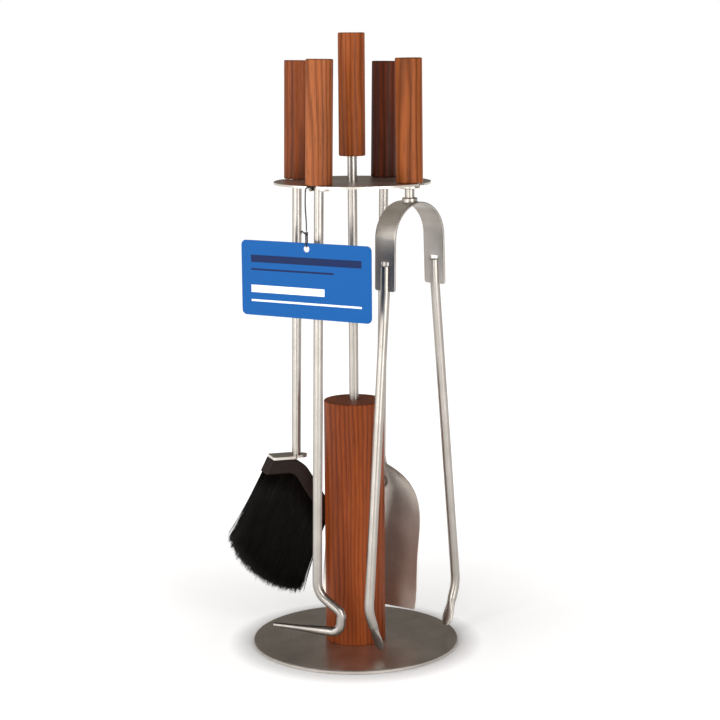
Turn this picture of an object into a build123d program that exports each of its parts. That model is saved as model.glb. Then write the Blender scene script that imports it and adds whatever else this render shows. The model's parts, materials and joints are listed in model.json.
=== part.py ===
# Fireplace tool set: a round stand with a wooden column carries a poker, tongs, a shovel and a brush
# by their wooden handles in four open slots of a hanging disc. A hang tag is tied to the poker.
# Millimetres, +Z up. The origin is the middle of the underside, on the floor.
# The slots lie on the axes: poker at -Y, tongs at +X, shovel at +Y, brush at -X.
import os
from math import cos, hypot, pi, radians, sin, tan

from build123d import *

os.makedirs("parts", exist_ok=True)

# ---- driving dimensions ----

# stand
base_diameter = 200.0
base_thickness = 3.0
base_bevel = 0.8
pad_height = 1.0
pad_inset = 4.0            # felt disc inside the plate's edge
column_diameter = 58.0
column_length = 237.1
column_edge_round = 0.8
rod_diameter = 9.0
disc_diameter = 148.0
disc_thickness = 2.0
disc_height = 450.3        # top face of the hanging disc above the floor
carry_rod_length = 23.8    # bare rod between the disc and the carry handle
carry_handle_length = 113.7

# slots and pressed seats of the hanging disc
hang_radius = 61.0
slot_play = 1.5            # how much wider a slot is than the rod in it
seat_diameter = 19.5
seat_depth = 3.0
seat_edge_round = 1.0

# handles and their threaded inserts
handle_diameter = 25.0
handle_lengths = {"poker": 113.5, "tongs": 114.0, "shovel": 110.5, "brush": 112.0}
handle_edge_round = 1.2
collar_recess_play = 2.5   # round the rod
collar_recess_depth = 2.4
insert_diameter = 10.0
insert_length = 20.0
thread_diameter = 6.0
thread_length = 16.0

# poker hook, from the seat down along the shaft
poker_bend_drop = 386.0    # where the shaft leaves its own line
poker_belly_offset = 25.0
poker_belly_drop = 403.5
poker_heel_offset = 23.5
poker_heel_drop = 422.8
poker_point_offset = -44.0
poker_taper_length = 48.0
poker_point_diameter = 4.2
poker_bend_radii = [20.0, 8.5, 9.0]

# tongs
bow_width = 25.0
bow_thickness = 2.0
bow_radius = 34.4          # outside of the arch
bow_drop = 16.9            # top of the arch below the seat
bow_leg_length = 46.0
bow_leg_flare = 1.2        # how far each leg has spread at its end
bow_corner_round = 2.5
bow_slot_headroom = 4.0    # open slot above each arm's top end
neck_skirt = 1.0           # how far the neck reaches down to meet the curved bow
neck_collar_diameter = 14.5
neck_collar_height = 3.4
neck_collar_round = 1.3
arm_top_drop = 74.3
arm_elbow_offset = 62.4
arm_elbow_drop = 398.5
arm_elbow_radius = 38.0
arm_tip_offset = 47.0
arm_tip_drop = 438.6
arm_paddle_length = 27.0
arm_paddle_width = 13.0
arm_paddle_thickness = 3.0

# shovel
shovel_tilt = 10.0         # blade against its shaft, in degrees
shovel_bolt_drop = 303.6
shovel_above_bolt = 20.0
shovel_below_bolt = 121.0
shovel_half_width = 53.0
shovel_rim = 13.0
shovel_sheet = 1.5
shovel_foot_length = 30.0
shovel_foot_width = 15.0
shovel_foot_thickness = 4.0
shovel_foot_gap = 0.5
shovel_foot_blend = 12.0   # length over which the round shaft flattens into its foot
shovel_foot_shoulder = 6.0 # flattening ends this far inside the foot
shovel_dome_radius = 7.5
shovel_dome_height = 5.8
shovel_dome_gap = 0.9      # under the dome, whose rim meets the curved blade

# brush
brush_plate_drop = 269.3
brush_plate_thickness = 2.6
brush_plate_length = 24.5
brush_plate_round = 2.0
brush_plate_inset = 0.5    # plate inside each side of the block
brush_tongue_length = 11.0
brush_tongue_radius = 6.5
brush_head_thickness = 22.0
brush_block_depth = 14.0
brush_block_start = -26.3  # mounting end of the block, from the shaft
brush_block_bend = 2.5
brush_end_slant = 7.0
brush_block_round = 1.5
brush_screw_offsets = [6.5, 18.0]    # from the mounting end of the plate
brush_bend_angle = 58.4    # the far end of the block against its mounting end, in degrees
brush_bend_radius = 25.0
brush_arm_length = 71.0
bristle_inset = 1.0        # bundle inside the block's faces and ends
bristle_heel_length = 71.9
bristle_heel_lean = 21.9   # last bristles against the shaft, in degrees
bristle_toe_length = 75.5
bristle_toe_lean = 25.6
bristle_bulge = 11.5       # tips in the middle stand this far beyond the line of the outer ones

# hang tag and its cord
tag_width = 139.0
tag_height = 70.0
tag_thickness = 0.7
tag_corner_round = 5.0
tag_hole_diameter = 6.0
tag_hole_below_top = 5.6
tag_off_centre = 1.4
tag_below_cord = 10.4      # upper edge of the tag below the cord's end
cord_diameter = 1.5
cord_ring_play = 0.15      # between the shaft and the loop round it
knot_diameter = 3.6
knot_height = 4.4
cord_ring_height = 1.2     # middle of the loop above the handle's lower end
cord_lead_turn = -140.3    # where the cord leaves the loop, in degrees round the shaft
cord_lead_height = 1.4     # above the disc, where it leaves the loop
cord_lead = [
    (-4.1, -67.4, 449.1),
    (-4.2, -72.5, 449.1),
    (-4.3, -76.4, 448.6),
    (-5.0, -76.5, 446.0),
]
cord_route = [
    (-5.0, -76.5, 445.2),
    (-5.3, -76.7, 437.5),
    (-5.1, -76.6, 428.0),
    (-4.3, -76.5, 418.0),
    (-4.4, -76.4, 409.6),
]
tie_half_width = 1.3       # loop through the tag's hole, from its middle plane
tie_below_cord = 3.0
tie_hole_gap = 0.1

# screws
base_screw_diameter = 6.0
base_screw_head = 11.0
base_screw_length = 22.0
socket_across_corners = 4.6
socket_depth = 2.4
stud_length = 24.0
stud_end_gap = 1.0         # stud short of the bottom of each of its holes
screw_head_sink = 0.1      # countersunk heads below their surface
small_screw_diameter = 3.0
small_screw_head = 6.0
small_screw_length = 9.0
bow_screw_diameter = 5.0
bow_screw_head = 9.5
bow_screw_head_height = 2.4
bow_screw_length = 9.0
bow_screw_gap = 0.4        # under the head, whose rim meets the curved bow
blade_bolt_diameter = 6.0
blade_bolt_end = 1.5       # bolt beyond its nut
nut_across_flats = 10.0
nut_height = 5.0

# clearances
rod_clearance = 0.25       # radial, rods through the column
bolt_clearance = 0.1       # radial, screws through sheet and plate
slot_clearance = 0.1       # each side, tong arms in their leg slots
rest_gap = 0.35            # under a handle that stands on one edge

# ---- derived places ----
base_top = pad_height + base_thickness
column_top = base_top + column_length
disc_bottom = disc_height - disc_thickness
rod_radius = rod_diameter / 2
slot_width = rod_diameter + slot_play
cord_ring_radius = rod_radius + cord_diameter / 2 + cord_ring_play
collar_recess_diameter = rod_diameter + 2 * collar_recess_play
tag_top_height = cord_route[-1][2] - tag_below_cord
lead_start = (
    cord_ring_radius * cos(radians(cord_lead_turn)),
    cord_ring_radius * sin(radians(cord_lead_turn)) - hang_radius,
    disc_height + cord_lead_height,
)

# direction of each slot, direction of each tool's head, and how far the tool leans in its slot, in degrees
hangs = {
    "poker": (-90.0, 10.0, 0.92),
    "tongs": (0.0, 76.0, -0.6),
    "shovel": (90.0, 0.0, 0.95),
    "brush": (180.0, 50.0, 0.93),
}


def save(part, name):
    part.label = name
    export_step(part, f"parts/{name}.step")


def head_plane(tool):
    """Upright plane of a tool's head: x along the head, y up the shaft, origin at the seat."""
    seat, turn, lean = (radians(angle) for angle in hangs[tool])
    origin = (hang_radius * cos(seat), hang_radius * sin(seat), disc_height + rest_gap)
    along = (cos(lean) * cos(turn), cos(lean) * sin(turn), -sin(lean))
    return Plane(origin=origin, x_dir=along, z_dir=(sin(turn), -cos(turn), 0))


def level_plane(tool, height):
    """Plane square to a tool's shaft at a height above the seat, negative below it."""
    face = head_plane(tool)
    return Plane(origin=face.origin + face.y_dir * height, x_dir=face.x_dir, z_dir=face.y_dir)


# ---- stand ----

def make_base():
    with BuildPart() as plate:
        with BuildSketch(Plane.XY.offset(pad_height)):
            Circle(base_diameter / 2)
        extrude(amount=base_thickness)
        chamfer(plate.edges().group_by(Axis.Z)[-1], base_bevel)
        with Locations(Plane(origin=(0, 0, pad_height), z_dir=(0, 0, -1))):
            CounterSinkHole(base_screw_diameter / 2 + bolt_clearance, base_screw_head / 2 + bolt_clearance)
    save(plate.part, "base_plate")

    with BuildPart() as felt:
        with BuildSketch():
            Circle(base_diameter / 2 - pad_inset)
        extrude(amount=pad_height)
    save(felt.part, "base_felt")

    head_height = (base_screw_head - base_screw_diameter) / 2
    head_face = pad_height + screw_head_sink
    with BuildPart() as screw:
        with BuildSketch(Plane.XZ):
            with BuildLine():
                Polyline(
                    (0, head_face),
                    (base_screw_head / 2, head_face),
                    (base_screw_diameter / 2, head_face + head_height),
                    (base_screw_diameter / 2, pad_height + base_screw_length),
                    (0, pad_height + base_screw_length),
                    close=True,
                )
            make_face()
        revolve(axis=Axis.Z)
        with BuildSketch(Plane.XY.offset(head_face)):
            RegularPolygon(socket_across_corners / 2, 6)
        extrude(amount=socket_depth, mode=Mode.SUBTRACT)
    save(screw.part, "base_screw")


def make_column():
    with BuildPart() as column:
        with BuildSketch(Plane.XY.offset(base_top)):
            Circle(column_diameter / 2)
            Circle(rod_radius + rod_clearance, mode=Mode.SUBTRACT)
        extrude(amount=column_length)
        outer = column.edges().filter_by(GeomType.CIRCLE).filter_by(lambda e: e.radius > rod_diameter)
        fillet(outer, column_edge_round)
    save(column.part, "column")


def make_rods():
    with BuildPart() as lower:
        with BuildSketch(Plane.XY.offset(base_top)):
            Circle(rod_radius)
        extrude(amount=disc_bottom - base_top)
        with BuildSketch(Plane.XY.offset(base_top)):
            Circle(base_screw_diameter / 2)
        extrude(amount=base_screw_length, mode=Mode.SUBTRACT)
        with BuildSketch(Plane.XY.offset(disc_bottom)):
            Circle(thread_diameter / 2)
        extrude(amount=-stud_length / 2, mode=Mode.SUBTRACT)
    save(lower.part, "lower_rod")

    with BuildPart() as upper:
        with BuildSketch(Plane.XY.offset(disc_height)):
            Circle(rod_radius)
        extrude(amount=carry_rod_length + collar_recess_depth)
        with BuildSketch(Plane.XY.offset(disc_height + carry_rod_length + collar_recess_depth)):
            Circle(thread_diameter / 2)
        extrude(amount=thread_length)
        with BuildSketch(Plane.XY.offset(disc_height)):
            Circle(thread_diameter / 2)
        extrude(amount=stud_length / 2, mode=Mode.SUBTRACT)
    save(upper.part, "upper_rod")

    with BuildPart() as stud:
        with BuildSketch(Plane.XY.offset(disc_bottom - stud_length / 2 + stud_end_gap)):
            Circle(thread_diameter / 2)
        extrude(amount=stud_length + disc_thickness - 2 * stud_end_gap)
    save(stud.part, "joining_stud")


def make_disc():
    seat_floor = disc_bottom - seat_depth
    with BuildPart() as disc:
        with BuildSketch(Plane.XY.offset(disc_bottom)):
            Circle(disc_diameter / 2)
        extrude(amount=disc_thickness)
        with BuildSketch(Plane.XY.offset(seat_floor)):
            with PolarLocations(hang_radius, 4):
                Circle(seat_diameter / 2)
        extrude(amount=seat_depth)
        fillet(disc.edges().group_by(Axis.Z)[0], seat_edge_round)
        with BuildSketch(Plane.XY.offset(seat_floor + disc_thickness)):
            with PolarLocations(hang_radius, 4):
                Circle(seat_diameter / 2 - disc_thickness)
        extrude(amount=seat_depth, mode=Mode.SUBTRACT)
        slot_length = disc_diameter / 2 - hang_radius + slot_width
        with BuildSketch(Plane.XY.offset(seat_floor)):
            with PolarLocations(hang_radius, 4):
                Circle(slot_width / 2)
            with PolarLocations(hang_radius + slot_length / 2, 4):
                Rectangle(slot_length, slot_width)
        extrude(amount=seat_depth + disc_thickness, mode=Mode.SUBTRACT)
        with BuildSketch(Plane.XY.offset(disc_bottom)):
            Circle(thread_diameter / 2 + bolt_clearance)
        extrude(amount=disc_thickness, mode=Mode.SUBTRACT)
    save(disc.part, "hanging_disc")


# ---- handles ----

def make_handle(name, foot, length):
    """Turned wooden handle and its threaded insert, standing on the plane foot."""
    with BuildPart() as handle:
        with BuildSketch(foot):
            Circle(handle_diameter / 2)
        extrude(amount=length)
        fillet(handle.edges(), handle_edge_round)
        with BuildSketch(foot):
            Circle(collar_recess_diameter / 2)
        extrude(amount=collar_recess_depth, mode=Mode.SUBTRACT)
        with BuildSketch(foot.offset(collar_recess_depth)):
            Circle(insert_diameter / 2)
        extrude(amount=insert_length, mode=Mode.SUBTRACT)
    save(handle.part, f"{name}_handle")

    with BuildPart() as insert:
        with BuildSketch(foot.offset(collar_recess_depth)):
            Circle(insert_diameter / 2)
            Circle(thread_diameter / 2, mode=Mode.SUBTRACT)
        extrude(amount=insert_length)
    save(insert.part, f"{name}_insert")


def add_rod(foot, diameter, length, mode=Mode.ADD):
    """Round bar standing on the plane foot, added to the part being built or cut from it."""
    with Locations(foot):
        Cylinder(diameter / 2, length, align=(Align.CENTER, Align.CENTER, Align.MIN), mode=mode)


def add_stem(tool, drop):
    """Straight shaft with its threaded end, from inside the handle down to a drop below the seat."""
    add_rod(level_plane(tool, -drop), rod_diameter, drop + collar_recess_depth)
    add_thread(tool)


def add_thread(tool):
    add_rod(level_plane(tool, collar_recess_depth), thread_diameter, thread_length)


# ---- poker ----

def make_poker():
    face = head_plane("poker")
    make_handle("poker", level_plane("poker", 0), handle_lengths["poker"])
    with BuildPart() as shaft:
        with BuildLine(face) as route:
            FilletPolyline(
                (0, collar_recess_depth),
                (0, -poker_bend_drop),
                (poker_belly_offset, -poker_belly_drop),
                (poker_heel_offset, -poker_heel_drop),
                (poker_point_offset + poker_taper_length, -poker_heel_drop),
                radius=poker_bend_radii,
            )
        path = route.wires()[0]
        with BuildSketch(Plane(path @ 0, z_dir=path % 0)):
            Circle(rod_radius)
        sweep(path=path)
        end = path @ 1
        away = path % 1
        for start, stop, wide, narrow in [
            (0.0, 0.5, rod_radius, poker_point_diameter * 0.65),
            (0.5, 1.0, poker_point_diameter * 0.65, poker_point_diameter / 2),
        ]:
            with BuildSketch(Plane(end + away * poker_taper_length * start, z_dir=away)):
                Circle(wide)
            with BuildSketch(Plane(end + away * poker_taper_length * stop, z_dir=away)):
                Circle(narrow)
            loft()
        add_thread("poker")
    save(shaft.part, "poker_shaft")


# ---- tongs ----

def make_bow():
    face = head_plane("tongs")
    arch_drop = bow_drop + bow_radius
    with BuildPart() as bow:
        with BuildSketch(face):
            with BuildLine():
                leg_right = (bow_radius + bow_leg_flare, -arch_drop - bow_leg_length)
                leg_left = (-leg_right[0], leg_right[1])
                Line(leg_left, (-bow_radius, -arch_drop))
                ThreePointArc((-bow_radius, -arch_drop), (0, -bow_drop), (bow_radius, -arch_drop))
                Line((bow_radius, -arch_drop), leg_right)
                inner = bow_radius - bow_thickness
                Line(leg_right, (leg_right[0] - bow_thickness, leg_right[1]))
                Line((leg_right[0] - bow_thickness, leg_right[1]), (inner, -arch_drop))
                ThreePointArc((inner, -arch_drop), (0, -bow_drop - bow_thickness), (-inner, -arch_drop))
                Line((-inner, -arch_drop), (leg_left[0] + bow_thickness, leg_left[1]))
                Line((leg_left[0] + bow_thickness, leg_left[1]), leg_left)
            make_face()
        extrude(amount=bow_width / 2, both=True)
        leg_ends = bow.edges().filter_by(lambda e: abs(e.length - bow_thickness) < 0.01)
        fillet(leg_ends, bow_corner_round)
        slot_top = arm_top_drop - bow_slot_headroom
        slot_height = arch_drop + bow_leg_length - slot_top
        with BuildSketch(Plane(origin=face.origin, x_dir=face.y_dir, z_dir=face.x_dir)):
            with Locations((-slot_top - slot_height / 2, 0)):
                Rectangle(slot_height, rod_diameter + 2 * slot_clearance)
        extrude(amount=2 * bow_radius, both=True, mode=Mode.SUBTRACT)
        with BuildSketch(level_plane("tongs", 0)):
            Circle(bow_screw_diameter / 2 + bolt_clearance)
        extrude(amount=-arch_drop, mode=Mode.SUBTRACT)
    save(bow.part, "tongs_spring")


def make_neck():
    face = head_plane("tongs")
    with BuildPart() as neck:
        add_stem("tongs", bow_drop)
        with BuildSketch(level_plane("tongs", -bow_drop)):
            Circle(neck_collar_diameter / 2)
        extrude(amount=neck_collar_height)
        rims = neck.edges().filter_by(GeomType.CIRCLE)
        rims = rims.filter_by(lambda e: abs(e.radius - neck_collar_diameter / 2) < 0.01)
        fillet(rims.sort_by(lambda e: -e.center().Z)[0], neck_collar_round)
        with BuildSketch(level_plane("tongs", -bow_drop - neck_skirt)):
            Circle(neck_collar_diameter / 2)
        extrude(amount=neck_skirt)
        with BuildSketch(face):
            with Locations((0, -bow_drop - bow_radius)):
                Circle(bow_radius)
        extrude(amount=bow_width, both=True, mode=Mode.SUBTRACT)
        with BuildSketch(level_plane("tongs", -bow_drop - neck_skirt)):
            Circle(bow_screw_diameter / 2)
        extrude(amount=bow_screw_length, mode=Mode.SUBTRACT)
    save(neck.part, "tongs_neck")

    with BuildPart() as screw:
        head_top = -bow_drop - bow_thickness - bow_screw_gap
        add_rod(level_plane("tongs", head_top - bow_screw_head_height), bow_screw_head, bow_screw_head_height)
        fillet(screw.edges().group_by(Axis.Z)[0], bow_screw_head_height * 0.6)
        add_rod(level_plane("tongs", head_top), bow_screw_diameter, bow_screw_length)
    save(screw.part, "tongs_screw")


def make_arm(side, name):
    """One tong arm: bent rod from the bow's slot to a flattened paddle. side is -1 or 1."""
    face = head_plane("tongs")
    leg_middle = bow_radius - bow_thickness / 2
    leg_end_drop = bow_drop + bow_radius + bow_leg_length
    tip_run = hypot(arm_elbow_offset - arm_tip_offset, arm_tip_drop - arm_elbow_drop)
    bare = 1 - arm_paddle_length / tip_run
    paddle_start = (
        side * (arm_elbow_offset + (arm_tip_offset - arm_elbow_offset) * bare),
        -(arm_elbow_drop + (arm_tip_drop - arm_elbow_drop) * bare),
    )
    with BuildPart() as arm:
        with BuildLine(face) as route:
            FilletPolyline(
                (side * (leg_middle + bow_leg_flare * 0.4), -arm_top_drop),
                (side * (leg_middle + bow_leg_flare), -leg_end_drop),
                (side * arm_elbow_offset, -arm_elbow_drop),
                paddle_start,
                radius=[60.0, arm_elbow_radius],
            )
        path = route.wires()[0]
        with BuildSketch(Plane(path @ 0, x_dir=face.z_dir, z_dir=path % 0)):
            Circle(rod_radius)
        sweep(path=path)
        end = path @ 1
        away = path % 1
        stations = [
            (0.3, rod_diameter * 1.12, rod_diameter * 0.6),
            (0.6, arm_paddle_width, arm_paddle_thickness),
            (0.85, arm_paddle_width * 0.86, arm_paddle_thickness * 0.8),
            (1.0, arm_paddle_width * 0.4, arm_paddle_thickness * 0.5),
        ]
        with BuildSketch(Plane(end, x_dir=face.z_dir, z_dir=away)):
            Circle(rod_radius)
        for share, width, thickness in stations:
            with BuildSketch(Plane(end + away * arm_paddle_length * share, x_dir=face.z_dir, z_dir=away)):
                Ellipse(width / 2, thickness / 2)
        loft()
    save(arm.part, name)


def make_tongs():
    make_handle("tongs", level_plane("tongs", 0), handle_lengths["tongs"])
    make_neck()
    make_bow()
    make_arm(-1, "tongs_arm_left")
    make_arm(1, "tongs_arm_right")


# ---- shovel ----

def blade_plane():
    """Plane of the blade's back at the bolt: x across, y up the blade, z out of the hollow side."""
    face = head_plane("shovel")
    tilt = radians(shovel_tilt)
    hollow = face.z_dir * cos(tilt) + face.y_dir * sin(tilt)
    return Plane(origin=face.origin - face.y_dir * shovel_bolt_drop, x_dir=face.x_dir, z_dir=hollow)


def make_shovel():
    back = blade_plane()
    make_handle("shovel", level_plane("shovel", 0), handle_lengths["shovel"])

    # height along the blade, then shares of the half width, of the rim, and of the rim's height in the middle
    length = shovel_below_bolt
    sections = [
        (-length, 0.975, 0.10, 0.0),
        (-length * 0.72, 0.995, 0.34, 0.0),
        (-length * 0.45, 1.0, 0.60, 0.0),
        (-length * 0.18, 0.985, 0.86, 0.0),
        (0.0, 0.80, 0.98, 0.0),
        (shovel_above_bolt * 0.55, 0.56, 1.0, 0.14),
        (shovel_above_bolt, 0.20, 1.02, 0.80),
    ]
    with BuildPart() as blade:
        for height, width_share, rim_share, floor_share in sections:
            width = shovel_half_width * width_share
            rim = shovel_rim * rim_share
            floor = shovel_rim * floor_share
            inner_rim = rim + shovel_sheet
            across = Plane(origin=back.origin + back.y_dir * height, x_dir=back.x_dir, z_dir=-back.y_dir)
            with BuildSketch(across):
                with BuildLine():
                    ThreePointArc((-width, rim), (0, floor), (width, rim))
                    Line((width, rim), (width, inner_rim))
                    ThreePointArc((width, inner_rim), (0, floor + shovel_sheet), (-width, inner_rim))
                    Line((-width, inner_rim), (-width, rim))
                make_face()
        loft()
        with BuildSketch(back):
            Circle(blade_bolt_diameter / 2 + bolt_clearance)
        extrude(amount=shovel_rim, both=True, mode=Mode.SUBTRACT)
    save(blade.part, "shovel_blade")

    foot_back = back.offset(-shovel_foot_gap - shovel_foot_thickness)
    stem_end = shovel_bolt_drop - shovel_foot_length / 2 - shovel_foot_blend
    with BuildPart() as shaft:
        add_stem("shovel", stem_end)
        with BuildSketch(foot_back):
            SlotOverall(shovel_foot_length, shovel_foot_width, rotation=90)
        extrude(amount=shovel_foot_thickness)
        with BuildSketch(level_plane("shovel", -stem_end)):
            Circle(rod_radius)
        shoulder = foot_back.offset(shovel_foot_thickness / 2).origin
        shoulder += back.y_dir * (shovel_foot_length / 2 - shovel_foot_shoulder)
        with BuildSketch(Plane(origin=shoulder, x_dir=back.x_dir, z_dir=back.y_dir)):
            Rectangle(shovel_foot_width * 0.8, shovel_foot_thickness)
        loft()
        add_rod(foot_back, blade_bolt_diameter + 2 * bolt_clearance, 2 * shovel_foot_thickness, Mode.SUBTRACT)
    save(shaft.part, "shovel_shaft")

    dome_seat = back.offset(shovel_sheet + shovel_dome_gap)
    bolt_length = shovel_foot_thickness + shovel_foot_gap + nut_height + blade_bolt_end
    with BuildPart() as bolt:
        add_rod(dome_seat, 2 * shovel_dome_radius, shovel_dome_height)
        fillet(bolt.edges().sort_by(Axis(dome_seat.origin, dome_seat.z_dir))[-1], shovel_dome_height * 0.95)
        add_rod(back.offset(-bolt_length), blade_bolt_diameter, bolt_length + shovel_sheet + shovel_dome_gap)
    save(bolt.part, "shovel_bolt")

    with BuildPart() as nut:
        with BuildSketch(foot_back.offset(-nut_height)):
            RegularPolygon(nut_across_flats / 2, 6, major_radius=False)
            Circle(blade_bolt_diameter / 2, mode=Mode.SUBTRACT)
        extrude(amount=nut_height)
    save(nut.part, "shovel_nut")


# ---- brush ----

def block_outline(depth, inset):
    """Corner points of the bent block's line at a depth below its top, and the radius of its bend."""
    turn = radians(brush_bend_angle)
    top = -brush_plate_drop - brush_plate_thickness
    start = brush_block_start + inset - brush_end_slant * depth / brush_block_depth
    bend = (brush_block_bend - depth * tan(turn / 2), top - depth)
    reach = brush_arm_length - inset - depth * tan(turn / 2)
    end = (bend[0] + reach * cos(turn), bend[1] - reach * sin(turn))
    return [(start, top - depth), bend, end], brush_bend_radius - depth


def bristle_tip(root, length, lean):
    """Tip of a bristle that leaves its root downwards and towards the mounting end."""
    return root[0] - length * sin(radians(lean)), root[1] - length * cos(radians(lean))


def make_brush():
    face = head_plane("brush")
    make_handle("brush", level_plane("brush", 0), handle_lengths["brush"])
    with BuildPart() as shaft:
        add_stem("brush", brush_plate_drop)
    save(shaft.part, "brush_shaft")

    plate_middle = brush_block_start + brush_plate_length / 2
    tongue_middle = brush_tongue_length - brush_tongue_radius
    screw_places = [(brush_block_start + offset, 0) for offset in brush_screw_offsets]
    plate_foot = level_plane("brush", -brush_plate_drop - brush_plate_thickness)
    plate_top = level_plane("brush", -brush_plate_drop)
    with BuildPart() as bracket:
        with BuildSketch(plate_foot):
            with Locations((plate_middle, 0)):
                plate_width = brush_head_thickness - 2 * brush_plate_inset
                RectangleRounded(brush_plate_length, plate_width, brush_plate_round)
            with Locations((tongue_middle, 0)):
                Circle(brush_tongue_radius)
            with Locations(((plate_middle + tongue_middle) / 2, 0)):
                Rectangle(tongue_middle - plate_middle, 2 * brush_tongue_radius)
        extrude(amount=brush_plate_thickness)
        with Locations(plate_top):
            with Locations(*screw_places):
                CounterSinkHole(
                    small_screw_diameter / 2 + bolt_clearance,
                    small_screw_head / 2 + bolt_clearance,
                )
    save(bracket.part, "brush_bracket")

    upper, upper_radius = block_outline(0, 0)
    lower, lower_radius = block_outline(brush_block_depth, 0)
    with BuildPart() as block:
        with BuildSketch(face):
            with BuildLine():
                FilletPolyline(*upper, radius=upper_radius)
                FilletPolyline(*lower, radius=lower_radius)
                Line(upper[0], lower[0])
                Line(upper[-1], lower[-1])
            make_face()
        extrude(amount=brush_head_thickness / 2, both=True)
        long_edges = block.edges().filter_by(lambda e: e.length > brush_head_thickness + 1)
        fillet(long_edges, brush_block_round)
        with Locations(plate_foot):
            with Locations(*screw_places):
                Hole(small_screw_diameter / 2, depth=small_screw_length)
    save(block.part, "brush_block")

    root, root_radius = block_outline(brush_block_depth, bristle_inset)
    toe = bristle_tip(root[0], bristle_toe_length, bristle_toe_lean)
    heel = bristle_tip(root[-1], bristle_heel_length, bristle_heel_lean)
    chord = Vector(*toe) - Vector(*heel)
    outward = Vector(-chord.Y, chord.X).normalized()
    middle = (Vector(*toe) + Vector(*heel)) / 2 + outward * bristle_bulge
    with BuildPart() as bristles:
        with BuildSketch(face):
            with BuildLine():
                FilletPolyline(*root, radius=root_radius)
                Line(root[-1], heel)
                ThreePointArc(heel, middle, toe)
                Line(toe, root[0])
            make_face()
        extrude(amount=brush_head_thickness / 2 - bristle_inset, both=True)
    save(bristles.part, "brush_bristles")

    head_height = (small_screw_head - small_screw_diameter) / 2
    with BuildPart() as screws:
        for place in screw_places:
            seat = Plane(
                origin=plate_top.origin + plate_top.x_dir * place[0] - plate_top.z_dir * screw_head_sink,
                x_dir=plate_top.x_dir,
                z_dir=-plate_top.z_dir,
            )
            with Locations(seat):
                Cone(
                    small_screw_head / 2,
                    small_screw_diameter / 2,
                    head_height,
                    align=(Align.CENTER, Align.CENTER, Align.MIN),
                )
            add_rod(seat.offset(head_height), small_screw_diameter, small_screw_length - head_height)
    save(screws.part, "brush_screws")


# ---- hang tag ----

def corner_radii(points):
    """Largest bend radius that each corner of a route has room for."""
    radii = []
    for before, corner, after in zip(points, points[1:], points[2:]):
        first = Vector(*corner) - Vector(*before)
        second = Vector(*after) - Vector(*corner)
        half_turn = radians(first.get_angle(second) / 2)
        radii.append(0.45 * min(first.length, second.length) / tan(half_turn))
    return radii


def add_cord(points):
    """Round cord along straight runs joined by arcs, added to the part being built."""
    with BuildLine() as route:
        FilletPolyline(*points, radius=corner_radii(points))
    path = route.wires()[0]
    with BuildSketch(Plane(path @ 0, z_dir=path % 0)) as section:
        Circle(cord_diameter / 2)
    sweep(section.sketch, path=path)
    return path


def make_tag():
    with BuildPart() as hitch:
        with Locations(level_plane("poker", cord_ring_height)):
            Torus(cord_ring_radius, cord_diameter / 2)
        add_cord([lead_start, *cord_lead])
    save(hitch.part, "cord_hitch")

    with BuildPart() as cord:
        path = add_cord(cord_route)
    save(cord.part, "tag_cord")
    expected = path.length * pi * (cord_diameter / 2) ** 2
    print("cord length", round(path.length, 2), "volume share", round(cord.part.volume / expected, 4))
    print("cord radii", [round(radius, 1) for radius in corner_radii(cord_route)])
    print("lead radii", [round(radius, 1) for radius in corner_radii([lead_start, *cord_lead])])

    end = cord_route[-1]
    with BuildPart() as knot:
        add_rod(Plane(origin=(end[0], end[1], end[2] - knot_height)), knot_diameter, knot_height)
        fillet(knot.edges().filter_by(GeomType.CIRCLE), knot_diameter * 0.42)
    save(knot.part, "tag_knot")

    hole_height = tag_top_height - tag_hole_below_top
    low = hole_height + tag_hole_diameter / 2 - cord_diameter / 2 - tie_hole_gap
    tie_top = end[2] - tie_below_cord
    middle = Plane(origin=(end[0], end[1], 0), x_dir=(0, 1, 0), z_dir=(1, 0, 0))
    with BuildPart() as tie:
        with BuildLine(middle) as route:
            side = tie_half_width
            ThreePointArc((-side, tie_top - side), (0, tie_top), (side, tie_top - side))
            Line((side, tie_top - side), (side, low + side))
            ThreePointArc((side, low + side), (0, low), (-side, low + side))
            Line((-side, low + side), (-side, tie_top - side))
        path = route.wires()[0]
        with BuildSketch(Plane(path @ 0, z_dir=path % 0)):
            Circle(cord_diameter / 2)
        sweep(path=path)
    save(tie.part, "tag_tie")

    centre = (end[0] - tag_off_centre, end[1] + tag_thickness / 2, tag_top_height - tag_height / 2)
    with BuildPart() as tag:
        with BuildSketch(Plane(origin=centre, x_dir=(1, 0, 0), z_dir=(0, -1, 0))):
            RectangleRounded(tag_width, tag_height, tag_corner_round)
            with Locations((tag_off_centre, tag_height / 2 - tag_hole_below_top)):
                Circle(tag_hole_diameter / 2, mode=Mode.SUBTRACT)
        extrude(amount=tag_thickness)
    save(tag.part, "hang_tag")


make_base()
make_column()
make_rods()
make_disc()
make_handle("carry", Plane.XY.offset(disc_height + carry_rod_length), carry_handle_length)
make_poker()
make_tongs()
make_shovel()
make_brush()
make_tag()
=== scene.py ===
import json
import math
import bmesh
import bpy
from mathutils import Matrix, Vector


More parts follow.
